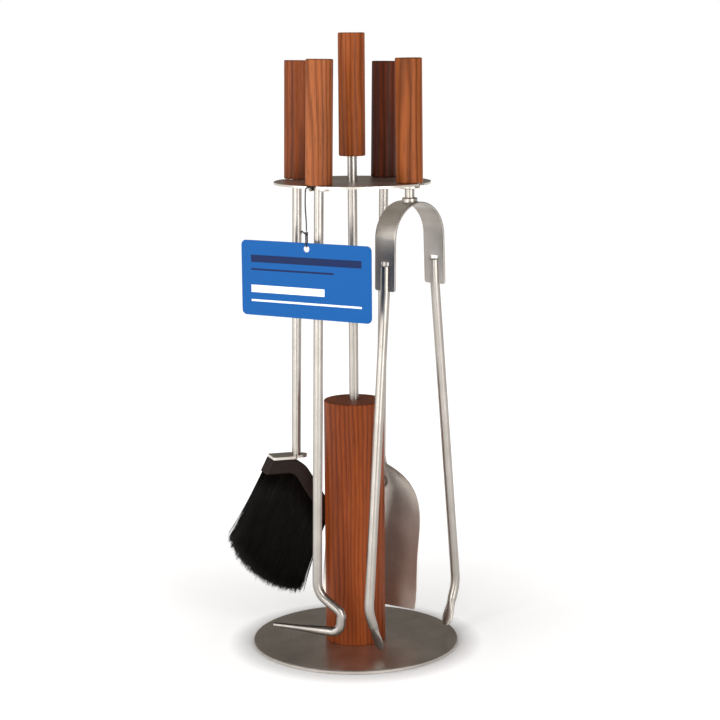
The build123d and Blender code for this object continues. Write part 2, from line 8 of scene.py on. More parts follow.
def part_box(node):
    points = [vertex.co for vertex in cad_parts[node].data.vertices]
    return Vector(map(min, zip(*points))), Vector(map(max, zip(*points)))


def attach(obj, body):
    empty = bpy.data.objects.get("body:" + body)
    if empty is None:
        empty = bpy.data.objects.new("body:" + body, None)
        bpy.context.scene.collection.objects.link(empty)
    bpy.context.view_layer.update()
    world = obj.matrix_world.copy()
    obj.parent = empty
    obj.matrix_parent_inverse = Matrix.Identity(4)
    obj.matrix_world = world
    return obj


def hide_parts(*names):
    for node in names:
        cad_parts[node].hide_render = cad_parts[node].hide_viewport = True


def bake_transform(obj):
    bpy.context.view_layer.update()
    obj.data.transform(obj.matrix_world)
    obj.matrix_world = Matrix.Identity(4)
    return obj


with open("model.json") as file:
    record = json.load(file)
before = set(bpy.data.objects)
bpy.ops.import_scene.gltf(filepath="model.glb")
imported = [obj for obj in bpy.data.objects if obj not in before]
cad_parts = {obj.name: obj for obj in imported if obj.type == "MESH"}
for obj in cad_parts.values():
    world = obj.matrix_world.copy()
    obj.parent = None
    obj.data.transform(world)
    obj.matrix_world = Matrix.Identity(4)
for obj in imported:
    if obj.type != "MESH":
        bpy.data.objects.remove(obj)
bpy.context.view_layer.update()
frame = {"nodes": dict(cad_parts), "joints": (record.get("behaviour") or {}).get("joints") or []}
nodes = frame["nodes"]
joints = {joint["name"]: joint for joint in frame["joints"]}
mm = 0.001
print("frame loaded:", len(nodes), "nodes")


# where the viewer stands
mainView = {
    "azimuth": 30.0,      # degrees round the stand
    "distance": 1.6868,   # metres from the centre rod
    "height": 0.5743,
    "pitch": 9.912,       # degrees downwards
    "yaw": 0.205,
    "roll": -0.411,
    "lens": 89.52,        # millimetres on a 36 mm sensor
}


def makeCamera(v):
    turn = math.radians(v["azimuth"])
    data = bpy.data.cameras.new("camera")
    data.lens = v["lens"]
    data.sensor_width = 36.0
    data.clip_end = 100.0
    camera = bpy.data.objects.new("camera", data)
    place = Matrix.Translation((v["distance"] * math.sin(turn), -v["distance"] * math.cos(turn), v["height"]))
    aim = Matrix.Rotation(turn - math.radians(v["yaw"]), 4, "Z")
    tip = Matrix.Rotation(math.radians(90 - v["pitch"]), 4, "X")
    lean = Matrix.Rotation(math.radians(v["roll"]), 4, "Z")
    camera.matrix_world = place @ aim @ tip @ lean
    bpy.context.scene.collection.objects.link(camera)
    bpy.context.scene.camera = camera


makeCamera(mainView)
print("camera placed")


# a short way to write shader maths
class Wire:
    # one output socket, with maths written as ordinary expressions
    def __init__(self, graph, socket):
        self.graph = graph
        self.socket = socket

    def maths(self, operation, *others):
        values = dict(enumerate((self,) + others))
        return self.graph.node("ShaderNodeMath", {"operation": operation}, values)

    def __add__(self, other):
        return self.maths("ADD", other)

    def __sub__(self, other):
        return self.maths("SUBTRACT", other)

    def __mul__(self, other):
        return self.maths("MULTIPLY", other)

    def __pow__(self, other):
        return self.maths("POWER", other)

    def __rsub__(self, other):
        return self.graph.node("ShaderNodeMath", {"operation": "SUBTRACT"}, {0: other, 1: self})

    def __abs__(self):
        return self.maths("ABSOLUTE")

    def __lt__(self, other):
        return self.maths("LESS_THAN", other)

    def __gt__(self, other):
        return self.maths("GREATER_THAN", other)

    __radd__ = __add__
    __rmul__ = __mul__

    def shift(self, low, high, newLow=0.0, newHigh=1.0):
        values = {"Value": self, "From Min": low, "From Max": high, "To Min": newLow, "To Max": newHigh}
        return self.graph.node("ShaderNodeMapRange", {"clamp": True}, values)

    def scaled(self, vector):
        return self.graph.node("ShaderNodeVectorMath", {"operation": "MULTIPLY"}, {0: self, 1: vector})

    def moved(self, vector):
        return self.graph.node("ShaderNodeVectorMath", {"operation": "ADD"}, {0: self, 1: vector})

    def parts(self):
        split = self.graph.raw("ShaderNodeSeparateXYZ", {}, {0: self})
        return [Wire(self.graph, socket) for socket in split.outputs]


class Graph:
    # one material and the nodes behind its surface shader
    def __init__(self, name):
        self.material = bpy.data.materials.new(name)
        self.material.use_nodes = True
        self.tree = self.material.node_tree
        self.surface = self.tree.nodes["Principled BSDF"]
        self.place = self.node("ShaderNodeTexCoord", {}, {}, "Object")

    def raw(self, kind, settings, sockets):
        made = self.tree.nodes.new(kind)
        for key, value in settings.items():
            if key == "stops":
                self.fillRamp(made.color_ramp, value)
            else:
                setattr(made, key, value)
        for key, value in sockets.items():
            self.feed(made.inputs[key], value)
        return made

    def node(self, kind, settings, sockets, output=0):
        return Wire(self, self.raw(kind, settings, sockets).outputs[output])

    def fillRamp(self, ramp, stops):
        while len(ramp.elements) < len(stops):
            ramp.elements.new(0.5)
        for element, (position, colour) in zip(ramp.elements, stops):
            element.position = position
            element.color = (*colour, 1.0)

    def feed(self, socket, value):
        if isinstance(value, Wire):
            self.tree.links.new(value.socket, socket)
        else:
            socket.default_value = value

    def noise(self, vector, scale=1.0, detail=3.0, roughness=0.5):
        values = {"Vector": vector, "Scale": scale, "Detail": detail, "Roughness": roughness}
        return self.node("ShaderNodeTexNoise", {}, values, "Fac")

    def mix(self, share, first, second):
        values = {0: share, 6: colour4(first), 7: colour4(second)}
        return self.node("ShaderNodeMix", {"data_type": "RGBA"}, values, 2)

    def ramp(self, value, stops):
        return self.node("ShaderNodeValToRGB", {"stops": stops}, {0: value})

    def bump(self, height, strength, distance):
        values = {"Height": height, "Strength": strength, "Distance": distance}
        return self.node("ShaderNodeBump", {}, values)

    def finish(self, **sockets):
        for key, value in sockets.items():
            self.feed(self.surface.inputs[key.replace("_", " ")], value)
        return self.material


def colour4(value):
    return value if isinstance(value, Wire) else (*value[:3], 1.0)


# metals, woods, card and yarn
steelLook = {
    "bright": (0.70, 0.655, 0.60),
    "dull": (0.56, 0.515, 0.465),
    "roughness": 0.27,
    "scratchAcross": 1300.0,   # cycles per metre across the brushing
    "scratchAlong": 24.0,
    "bumpDepth": 0.00002,
}


# The factor after the grain scales the steel's colour part by part, giving lighter and darker copies of one
# steel: painted light and painted shade for how light falls on each part.
def steel(name, grain="along", paintedLightFactor=1.0, roughness=None):
    look = steelLook
    g = Graph(name)
    fine = look["scratchAcross"]
    long = look["scratchAlong"]
    if grain == "round":
        x, y, z = g.place.parts()
        away = (x * x + y * y) ** 0.5
        turned = g.node("ShaderNodeCombineXYZ", {}, {"X": away, "Y": x * 0.06, "Z": z})
        scratch = g.noise(turned.scaled((fine, long * 3, fine)), 1.0, 4.0, 0.6)
    else:
        stretch = {"along": (fine, fine, long), "level": (long, long, fine)}[grain]
        scratch = g.noise(g.place.scaled(stretch), 1.0, 4.0, 0.6)
    cloud = g.noise(g.place, 35.0, 3.0)
    base = look["roughness"] if roughness is None else roughness
    dull = tuple(c * paintedLightFactor for c in look["dull"])
    bright = tuple(c * paintedLightFactor for c in look["bright"])
    tone = g.mix(cloud.shift(0.3, 0.7), dull, bright)
    tone = g.mix(scratch.shift(0.35, 0.8, 0.0, 0.16), tone, (0.20, 0.18, 0.16))
    rough = base + (scratch - 0.5) * 0.16 + (cloud - 0.5) * 0.08
    return g.finish(
        Base_Color=tone,
        Metallic=1.0,
        Roughness=rough,
        Normal=g.bump(scratch, 0.12, look["bumpDepth"]),
    )


woodLook = {
    "fibreAcross": 1000.0,      # cycles per metre across the grain
    "fibreAlong": 16.0,
    "poreAcross": 1500.0,
    "poreAlong": 38.0,
    "ringWidth": 0.0042,       # metres between growth rings
    "poreDepth": 0.00009,
    "gloss": 0.10,
}


def wood(name, centre, light, middle, dark, streaks=0.5, ringTurn=25.0, seed=0.0, gloss=0.03):
    look = woodLook
    g = Graph(name)
    local = g.node("ShaderNodeMapping", {}, {"Vector": g.place, "Location": (-centre[0], -centre[1], seed)})
    sway = g.noise(local.scaled((26, 26, 3.5)), 1.0, 3.0)
    broad = g.noise(local.scaled((55, 55, 5.0)).moved((seed, 3.1, 0)), 1.0, 3.0)
    x, y = local.parts()[:2]
    turn = math.radians(ringTurn)
    across = x * math.cos(turn) + y * math.sin(turn) + sway * 0.016
    ring = (across * (2 * math.pi / look["ringWidth"])).maths("SINE").shift(-1.0, 1.0)
    fibreSize = (look["fibreAcross"], look["fibreAcross"], look["fibreAlong"])
    poreSize = (look["poreAcross"], look["poreAcross"], look["poreAlong"])
    fibre = g.noise(local.scaled(fibreSize), 1.0, 3.0, 0.65)
    pore = g.noise(local.scaled(poreSize), 1.0, 2.0)
    poreMask = pore.shift(0.60, 0.70)
    figure = (ring ** 2.2) * (0.35 + 0.3 * streaks) + broad.shift(0.36, 0.70) * streaks
    tone = g.ramp(figure, [(0.0, light), (0.42, middle), (1.0, dark)])
    tone = g.mix(fibre.shift(0.32, 0.74, 0.0, 0.55), tone, tuple(c * 0.40 for c in middle))
    tone = g.mix(poreMask * 0.55, tone, tuple(c * 0.35 for c in dark))
    rough = 0.44 + (fibre - 0.5) * 0.22 + poreMask * 0.15
    return g.finish(
        Base_Color=tone,
        Roughness=rough,
        Specular_IOR_Level=look["gloss"],
        Coat_Weight=gloss,
        Coat_Roughness=0.28,
        Normal=g.bump((1 - poreMask) * 0.6 + fibre * 0.4, 0.35, look["poreDepth"]),
    )


def speckled(name, first, second, roughness, scale=700.0, depth=0.00012, sheen=0.0, gloss=0.5):
    g = Graph(name)
    grain = g.noise(g.place, scale, 4.0, 0.6)
    cloud = g.noise(g.place, scale * 0.06, 3.0)
    tone = g.mix((grain * 0.6 + cloud * 0.4).shift(0.35, 0.65), first, second)
    return g.finish(
        Base_Color=tone,
        Roughness=roughness + (grain - 0.5) * 0.2,
        Specular_IOR_Level=gloss,
        Sheen_Weight=sheen,
        Normal=g.bump(grain, 0.4, depth),
    )


def bristleFinish():
    g = Graph("bristleHair")
    streak = g.noise(g.place.scaled((900, 900, 60)), 1.0, 2.0)
    tone = g.mix(streak.shift(0.45, 0.75), (0.003, 0.0022, 0.0018), (0.012, 0.009, 0.007))
    return g.finish(Base_Color=tone, Roughness=0.5 + (streak - 0.5) * 0.2, Specular_IOR_Level=0.16)


tagPrint = {
    "blue": (0.0, 0.080, 0.29),
    "navy": (0.002, 0.012, 0.065),
    "white": (0.86, 0.88, 0.90),
    "card": (0.72, 0.71, 0.68),
    # bars: distance of the middle below the tag's top, half height, left and right ends from its middle
    "bars": [
        (17.0, 3.4, -59.0, 59.0, "navy"),
        (27.0, 0.9, -59.0, 30.0, "navy"),
        (45.0, 3.4, -59.0, 20.0, "white"),
        (56.0, 0.9, -59.0, 59.0, "white"),
    ],
}


def tagFinish():
    low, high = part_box("hang_tag")
    g = Graph("tagCard")
    x, y, z = g.place.parts()
    u = x - (low.x + high.x) / 2
    v = high.z - z
    tone = tagPrint["blue"]
    for middle, half, left, right, ink in tagPrint["bars"]:
        inRow = abs(v - middle * mm) < half * mm
        inBar = abs(u - (left + right) / 2 * mm) < (right - left) / 2 * mm
        inside = inRow * inBar
        tone = g.mix(inside, tone, tagPrint[ink])
    fibre = g.noise(g.place, 900.0, 3.0)
    skin = 0.06 * mm
    edge = (y > low.y + skin) * (y < high.y - skin)    # the cut edge shows the card's core
    tone = g.mix(edge, tone, tagPrint["card"])
    tone = g.mix(fibre.shift(0.3, 0.8, 0.0, 0.08), tone, (0.0, 0.03, 0.12))
    return g.finish(
        Base_Color=tone,
        Roughness=0.34 + edge * 0.4 + (fibre - 0.5) * 0.08,
        Specular_IOR_Level=0.12,
        Normal=g.bump(fibre, 0.08, 0.00003),
    )


def cordFinish():
    g = Graph("cordYarn")
    yarn = g.noise(g.place.scaled((2600, 2600, 1500)), 1.0, 3.0)
    tone = g.mix(yarn.shift(0.35, 0.75), (0.010, 0.009, 0.009), (0.055, 0.05, 0.048))
    return g.finish(Base_Color=tone, Roughness=0.75 + (yarn - 0.5) * 0.2, Normal=g.bump(yarn, 0.6, 0.0001))


def middleOf(node):
    low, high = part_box(node)
    return (low + high) / 2


columnTones = [(0.315, 0.072, 0.013), (0.240, 0.047, 0.009), (0.100, 0.020, 0.005)]
handleTones = {
    # light, middle and dark wood, share of dark streaks, turn of the rings in degrees
    "carry_handle": ((0.355, 0.090, 0.018), (0.245, 0.055, 0.011), (0.075, 0.018, 0.005), 0.62, 20.0),
    "poker_handle": ((0.370, 0.108, 0.032), (0.255, 0.070, 0.020), (0.085, 0.025, 0.009), 0.52, 62.0),
    "tongs_handle": ((0.395, 0.106, 0.022), (0.270, 0.068, 0.014), (0.085, 0.022, 0.006), 0.58, 100.0),
    "shovel_handle": ((0.170, 0.032, 0.008), (0.090, 0.016, 0.004), (0.040, 0.009, 0.003), 0.85, 40.0),
    "brush_handle": ((0.290, 0.074, 0.020), (0.195, 0.046, 0.012), (0.065, 0.016, 0.005), 0.60, 130.0),
}


def dressNodes():
    # The blade's lighter copy is painted light for the light its side catches; the darker copies on the rods,
    # screws, bracket and dome are painted shade.
    rodSteel = steel("rodSteel", "along", 0.60, 0.33)
    plateSteel = steel("plateSteel", "round", 1.0, 0.38)
    bladeSteel = steel("bladeSteel", "along", 1.35, 0.43)
    screwSteel = steel("screwSteel", "round", 0.8, 0.36)
    domeSteel = steel("domeSteel", "round", 0.35, 0.35)
    brass = speckled("insertBrass", (0.62, 0.44, 0.18), (0.70, 0.52, 0.24), 0.35)
    lacquer = speckled("blockLacquer", (0.011, 0.006, 0.005), (0.020, 0.011, 0.009), 0.5, 420.0, gloss=0.14)
    looks = {
        "base_plate": plateSteel,
        "hanging_disc": plateSteel,
        "shovel_blade": bladeSteel,
        "shovel_bolt": domeSteel,
        "shovel_nut": screwSteel,
        "base_screw": screwSteel,
        "joining_stud": screwSteel,
        "tongs_screw": screwSteel,
        "brush_screws": screwSteel,
        "brush_bracket": steel("bracketSteel", "level", 0.9, 0.36),
        "base_felt": speckled("felt", (0.012, 0.012, 0.012), (0.03, 0.03, 0.03), 0.9, 1400.0, 0.0004, 0.3),
        "brush_block": lacquer,
        "hang_tag": tagFinish(),
        "column": wood("columnWood", (0, 0), *columnTones, 0.52, 35.0, 0.7),
    }
    for node in ("lower_rod", "upper_rod", "poker_shaft", "tongs_neck", "tongs_arm_left", "tongs_arm_right",
                 "shovel_shaft", "brush_shaft"):
        looks[node] = rodSteel
    for number, (node, (light, middle, dark, streaks, turn)) in enumerate(handleTones.items()):
        name = node.replace("_handle", "") + "Wood"
        looks[node] = wood(name, middleOf(node), light, middle, dark, streaks, turn, number * 0.37)
        looks[node.replace("handle", "insert")] = brass
    for node, material in looks.items():
        mesh = nodes[node].data
        mesh.materials.clear()
        mesh.materials.append(material)


# shapes from points
def settled(thing):
    # the shape with its modifiers applied, as a plain mesh object of the same name
    bpy.context.view_layer.update()
    depsgraph = bpy.context.evaluated_depsgraph_get()
    mesh = bpy.data.meshes.new_from_object(thing.evaluated_get(depsgraph))
    name = thing.name
    bpy.data.objects.remove(thing)
    made = bpy.data.objects.new(name, mesh)
    mesh.name = name
    bpy.context.scene.collection.objects.link(made)
    return made


def meshObject(name, points, faces):
    mesh = bpy.data.meshes.new(name)
    mesh.from_pydata([tuple(p) for p in points], [], faces)
    made = bpy.data.objects.new(name, mesh)
    bpy.context.scene.collection.objects.link(made)
    return made


def cleaned(made, distance=1e-6):
    work = bmesh.new()
    work.from_mesh(made.data)
    bmesh.ops.remove_doubles(work, verts=work.verts, dist=distance)
    bmesh.ops.recalc_face_normals(work, faces=work.faces)
    work.to_mesh(made.data)
    work.free()
    for polygon in made.data.polygons:
        polygon.use_smooth = True
    return made


def dress(made, material, slotName, body, *replaced):
    made.data.materials.clear()
    made.data.materials.append(material)
    if body:
        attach(made, body)
    if replaced:
        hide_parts(*replaced)
    return made


def routeLine(points, cyclic=False):
    # points along the smooth line that a route of given points gives
    data = bpy.data.curves.new("route", "CURVE")
    data.dimensions = "3D"
    spline = data.splines.new("NURBS")
    spline.points.add(len(points) - 1)
    for point, place in zip(spline.points, points):
        point.co = (*place, 1.0)
    spline.use_cyclic_u = cyclic
    spline.order_u = 3
    spline.use_endpoint_u = not cyclic
    spline.resolution_u = 10
    thing = bpy.data.objects.new("route", data)
    mesh = bpy.data.meshes.new_from_object(thing)
    line = [v.co.copy() for v in mesh.vertices]
    bpy.data.objects.remove(thing)
    bpy.data.meshes.remove(mesh)
    return line


def tubeFaces(count, sides, closed):
    faces = []
    for ring in range(count if closed else count - 1):
        for side in range(sides):
            a = ring * sides + side
            b = ring * sides + (side + 1) % sides
            step = ((ring + 1) % count) * sides
            faces.append((a, b, step + (side + 1) % sides, step + side))
    if not closed:
        faces.append(tuple(reversed(range(sides))))
        faces.append(tuple(range((count - 1) * sides, count * sides)))
    return faces


def framesAlong(line, closed):
    # a direction across the line at every point, carried along without twisting
    count = len(line)
    frames = []
    across = None
    for i, point in enumerate(line):
        ahead = line[(i + 1) % count] if closed or i < count - 1 else point
        behind = line[i - 1] if closed or i > 0 else point
        along = (ahead - behind).normalized()
        if across is None:
            across = along.orthogonal()
        across = (across - along * across.dot(along)).normalized()
        frames.append((across, along.cross(across)))
    return frames


def laidCord(line, diameter, pitch, strands=3, sides=7, closed=False):
    # points and faces of a cord laid up from round strands that follow one line
    strandPlace = 1.155    # middle of each of three touching strands, in strand radii
    strandRadius = diameter / 2 / (1 + strandPlace)
    offset = strandRadius * strandPlace
    frames = framesAlong(line, closed)
    travelled = [0.0]
    for a, b in zip(line, line[1:]):
        travelled.append(travelled[-1] + (b - a).length)
    whole = travelled[-1] + ((line[0] - line[-1]).length if closed else 0.0)
    turns = max(1, round(whole / pitch)) / whole if closed else 1 / pitch
    points, faces = [], []
    for strand in range(strands):
        start = len(points)
        for point, (across, side), way in zip(line, frames, travelled):
            angle = 2 * math.pi * (strand / strands + way * turns)
            centre = point + (across * math.cos(angle) + side * math.sin(angle)) * offset
            for k in range(sides):
                around = 2 * math.pi * k / sides
                points.append(centre + (across * math.cos(around) + side * math.sin(around)) * strandRadius)
        faces += [tuple(start + i for i in face) for face in tubeFaces(len(line), sides, closed)]
    return points, faces


# the cord that the tag hangs on, its loop, knot and tie
tagCord = {
    "diameter": 1.5,
    "pitch": 4.2,
    "route": [
        (-5.0, -76.5, 445.2),
        (-5.3, -76.7, 437.5),
        (-5.1, -76.6, 428.0),
        (-4.3, -76.5, 418.0),
        (-4.4, -76.4, 409.6),
    ],
    "length": 35.6,
    "lead": [
        (-4.15, -64.4, 451.7),
        (-4.1, -67.4, 449.1),
        (-4.2, -72.5, 449.3),
        (-4.3, -76.2, 449.1),
        (-4.9, -76.6, 447.0),
        (-5.0, -76.5, 445.2),
    ],
    "ringRadius": 5.4,
    "ringPlace": -61.0,
    "ringHeight": 1.4,       # above the handle's lowest edge
    "tieHalfWidth": 1.3,
    "knotSize": 0.46,
    "tail": [                # from the cord's lower end
        (-0.6, -0.4, -2.4),
        (-2.2, -1.0, -1.2),
        (-3.9, -1.6, 0.4),
        (-4.9, -1.9, 0.2),
        (-5.0, -1.9, -1.2),
        (-4.0, -1.6, -1.8),
    ],
}


def metres(points):
    return [Vector(p) * mm for p in points]


def makeTagCord():
    yarn = cordFinish()
    size = tagCord["diameter"] * mm
    pitch = tagCord["pitch"] * mm

    line = routeLine(metres(tagCord["route"]))
    hanging = cleaned(meshObject("tagCordLaid", *laidCord(line, size, pitch)))
    dress(hanging, yarn, "cord", "tag", "tag_cord")

    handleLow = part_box("poker_handle")[0]
    ringCentre = Vector((0.0, tagCord["ringPlace"] * mm, handleLow.z + tagCord["ringHeight"] * mm))
    ring = []
    for k in range(40):
        around = 2 * math.pi * k / 40
        ring.append(ringCentre + Vector((math.cos(around), math.sin(around), 0)) * tagCord["ringRadius"] * mm)
    points, faces = laidCord(ring, size, pitch, closed=True)
    leadPoints, leadFaces = laidCord(routeLine(metres(tagCord["lead"])), size, pitch)
    faces += [tuple(len(points) + i for i in face) for face in leadFaces]
    hitch = cleaned(meshObject("cordHitchLaid", points + leadPoints, faces))
    dress(hitch, yarn, "cord", "poker", "cord_hitch")

    end = Vector(tagCord["route"][-1]) * mm
    knotSize = tagCord["knotSize"] * mm
    knotMiddle = end - Vector((0, 0, 2.0 * mm))
    trefoil = []
    for k in range(72):
        t = 2 * math.pi * k / 72
        trefoil.append(knotMiddle + Vector((
            (math.sin(t) + 2 * math.sin(2 * t)) * knotSize,
            -math.sin(3 * t) * knotSize * 1.5,
            (math.cos(t) - 2 * math.cos(2 * t)) * knotSize * 1.15,
        )))
    points, faces = laidCord(trefoil, size * 0.92, pitch, closed=True)
    tail = routeLine([end + Vector(p) * mm for p in tagCord["tail"]])
    tailPoints, tailFaces = laidCord(tail, size, pitch * 0.8)
    faces += [tuple(len(points) + i for i in face) for face in tailFaces]
    knot = cleaned(meshObject("cordKnot", points + tailPoints, faces))
    dress(knot, yarn, "cord", "tag", "tag_knot")

    tieLow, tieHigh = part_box("tag_tie")
    half = tagCord["tieHalfWidth"] * mm
    middle = middleOf("tag_tie")
    top = tieHigh.z - size / 2
    bottom = tieLow.z + size / 2
    loop = []
    for centreZ, first in ((top - half, 0.0), (bottom + half, math.pi)):
        for k in range(13):
            around = first + math.pi * k / 12
            y = middle.y + half * math.cos(around)
            loop.append(Vector((middle.x, y, centreZ + half * math.sin(around))))
        if first == 0.0:
            for k in range(1, 12):
                z = top - half + (bottom - top + 2 * half) * k / 12
                loop.append(Vector((middle.x, middle.y - half, z)))
    for k in range(1, 12):
        z = bottom + half + (top - bottom - 2 * half) * k / 12
        loop.append(Vector((middle.x, middle.y + half, z)))
    tie = cleaned(meshObject("cordTie", *laidCord(loop, size, pitch, closed=True)))
    dress(tie, yarn, "cord", "tag", "tag_tie")


makeTagCord()
print("tag cord laid")
dressNodes()
print("nodes dressed")


# the spring bow, made in two halves, one for each side
bowStrip = {
    "thickness": 2.0,
    "width": 25.0,
    "legLength": 46.0,
    "legFlare": 1.2,
    "slotWidth": 9.2,
    "slotLength": 27.0,      # open slot, from the leg's end upwards
    "cornerRound": 2.5,
    "edgeRound": 0.35,
    "archSteps": 30,
    "legSteps": 24,
}


def makeBow():
    # a darker copy of the steel: painted shade on the bow
    material = steel("springSteel", "level", 0.66, 0.36)
    left = Vector(joints["tongs_squeeze"]["pos_m"])
    right = Vector(joints["tongs_squeeze_right"]["pos_m"])
    out = Vector(joints["tongs_squeeze"]["axis"]).normalized()
    across = (right - left).normalized()
    up = out.cross(across)
    centre = (left + right) / 2
    radius = (right - left).length / 2
    quarter = radius * math.pi / 2
    leg = bowStrip["legLength"] * mm
    half = bowStrip["width"] * mm / 2
    gap = bowStrip["slotWidth"] * mm / 2
    slotStart = quarter + leg - bowStrip["slotLength"] * mm
    corner = bowStrip["cornerRound"] * mm

    def onStrip(way, side):
        if way <= quarter:
            angle = way / radius
            return side * radius * math.sin(angle), radius * math.cos(angle)
        share = (way - quarter) / leg
        return side * (radius + bowStrip["legFlare"] * mm * share), -leg * share

    ways = [quarter * k / bowStrip["archSteps"] for k in range(bowStrip["archSteps"])]
    steps = bowStrip["legSteps"]
    below = [quarter + (slotStart - quarter) * k / 6 for k in range(6)]
    slotEnd = quarter + leg
    straight = [slotStart + (slotEnd - corner - slotStart) * k / steps for k in range(steps)]
    bend = [slotEnd - corner * math.cos(math.pi / 2 * k / 8) for k in range(9)]
    ways += below + straight + bend
    halves = [(-1, "tongs_left", left, "bowHalfLeft"), (1, "tongs_right", right, "bowHalfRight")]
    for side, body, pivot, name in halves:
        points, faces = [], []
        rows = []
        for way in ways:
            inset = 0.0
            if way > slotEnd - corner:
                inset = corner - math.sqrt(max(0.0, corner ** 2 - (way - slotEnd + corner) ** 2))
            edge = half - inset
            levels = [-edge + (edge - gap) * k / 4 for k in range(4)] + [-gap, -gap / 3, gap / 3, gap]
            levels += [gap + (edge - gap) * (k + 1) / 4 for k in range(4)]
            u, w = onStrip(way, side)
            rows.append(len(points))
            points += [centre + across * u + up * w + out * level for level in levels]
        for upper, (rowA, rowB) in enumerate(zip(rows, rows[1:])):
            inSlot = ways[upper] >= slotStart - 1e-9
            for k in range(11):
                if inSlot and 4 <= k <= 6:
                    continue
                faces.append((rowA + k, rowA + k + 1, rowB + k + 1, rowB + k))
        strip = meshObject(name, points, faces)
        work = bmesh.new()
        work.from_mesh(strip.data)
        bmesh.ops.delete(work, geom=[v for v in work.verts if not v.link_faces], context="VERTS")
        bmesh.ops.remove_doubles(work, verts=work.verts, dist=1e-6)
        work.to_mesh(strip.data)
        work.free()
        wall = strip.modifiers.new("wall", "SOLIDIFY")
        wall.thickness = bowStrip["thickness"] * mm
        wall.offset = 0.0
        soft = strip.modifiers.new("soft", "BEVEL")
        soft.width = bowStrip["edgeRound"] * mm
        soft.segments = 2
        soft.limit_method = "ANGLE"
        soft.angle_limit = math.radians(50)
        strip = cleaned(settled(strip))
        dress(strip, material, "spring_steel", None)
        if side < 0:
            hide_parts("tongs_spring")
        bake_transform(strip)


makeBow()
print("bow made")


# brush hair, planted on the sole of the block
brushHead = {
    "turn": 50.0,            # direction of the head, degrees
    "lean": 0.93,            # of the shaft in its slot
    "seat": (-61.0, 0.0, 450.65),
    "rootStart": (-32.3, -285.9),
    "rootBend": (-5.3, -285.9),
    "rootEnd": (27.3, -338.9),
    "bendRadius": 11.0,
    "tipToe": (-65.0, -354.0),
    "tipMiddle": (-35.4, -392.0),
    "tipHeel": (0.5, -405.6),
    "halfWidth": 10.0,
    "halfWidthTips": 12.5,
    "perSquareMetre": 4.6e6,
    "radius": 0.27,
    "stray": 2.2,            # of each hair's tip from its place
    "tipShare": 0.55,        # of the hair's radius at its tip
    "curlPower": 2.4,        # how late along its length a hair bends
    "curl": 3.0,
    "lengthSpread": 0.09,
    "seed": 7,
}


def headPoint(u, v, w=0.0):
    # u along the brush's head, v up its shaft, w out of its side, in millimetres
    turn = math.radians(brushHead["turn"])
    lean = math.radians(brushHead["lean"])
    along = Vector((math.cos(lean) * math.cos(turn), math.cos(lean) * math.sin(turn), -math.sin(lean)))
    out = Vector((math.sin(turn), -math.cos(turn), 0))
    upward = out.cross(along)
    return (Vector(brushHead["seat"]) + along * u + upward * v + out * w) * mm


def bentLine(start, bend, end, radius, count):
    # evenly spaced points along two straight runs joined by an arc
    start, bend, end = Vector(start), Vector(bend), Vector(end)
    first, second = (start - bend).normalized(), (end - bend).normalized()
    half = first.angle(second) / 2
    cut = radius / math.tan(half)
    middle = bend + (first + second).normalized() * (radius / math.sin(half))
    a, b = bend + first * cut, bend + second * cut
    fine = [start.lerp(a, k / 30) for k in range(30)]
    for k in range(21):
        swing = (a - middle).lerp(b - middle, k / 20).normalized() * radius
        fine.append(middle + swing)
    fine += [b.lerp(end, k / 30) for k in range(1, 31)]
    return evenly(fine, count)


def evenly(line, count):
    lengths = [0.0]
    for a, b in zip(line, line[1:]):
        lengths.append(lengths[-1] + (b - a).length)
    found = []
    for k in range(count):
        want = lengths[-1] * k / (count - 1)
        i = max(j for j in range(len(lengths) - 1) if lengths[j] <= want + 1e-12)
        share = (want - lengths[i]) / (lengths[i + 1] - lengths[i])
        found.append(line[i].lerp(line[i + 1], min(1.0, share)))
    return found


def arcThrough(a, b, c, count):
    # evenly spaced points on the arc from a through b to c
    a, b, c = Vector(a), Vector(b), Vector(c)
    d = 2 * (a.x * (b.y - c.y) + b.x * (c.y - a.y) + c.x * (a.y - b.y))
    x = (a.dot(a) * (b.y - c.y) + b.dot(b) * (c.y - a.y) + c.dot(c) * (a.y - b.y)) / d
    y = (a.dot(a) * (c.x - b.x) + b.dot(b) * (a.x - c.x) + c.dot(c) * (b.x - a.x)) / d
    middle = Vector((x, y))
    first = math.atan2(a.y - y, a.x - x)
    last = math.atan2(c.y - y, c.x - x)
    if last < first:
        last += 2 * math.pi
    radius = (a - middle).length
    angles = [first + (last - first) * k / (count - 1) for k in range(count)]
    return [middle + Vector((math.cos(t), math.sin(t))) * radius for t in angles]


def rootSheet():
    steps, across = 30, 8
    roots = bentLine(
        brushHead["rootStart"], brushHead["rootBend"], brushHead["rootEnd"], brushHead["bendRadius"], steps
    )
    tips = arcThrough(brushHead["tipToe"], brushHead["tipMiddle"], brushHead["tipHeel"], steps)
    points, reaches = [], []
    for root, tip in zip(roots, tips):
        for k in range(across):
            side = 2 * k / (across - 1) - 1
            low = headPoint(root.x, root.y, side * brushHead["halfWidth"])
            points.append(low)
            reaches.append(headPoint(tip.x, tip.y, side * brushHead["halfWidthTips"]) - low)
    faces = []
    for row in range(steps - 1):
        for k in range(across - 1):
            a = row * across + k
            faces.append((a, a + 1, a + across + 1, a + across))
    sheet = meshObject("bristleBundle", points, faces)
    reach = sheet.data.attributes.new("reach", "FLOAT_VECTOR", "POINT")
    for item, value in zip(reach.data, reaches):
        item.vector = value
    return sheet


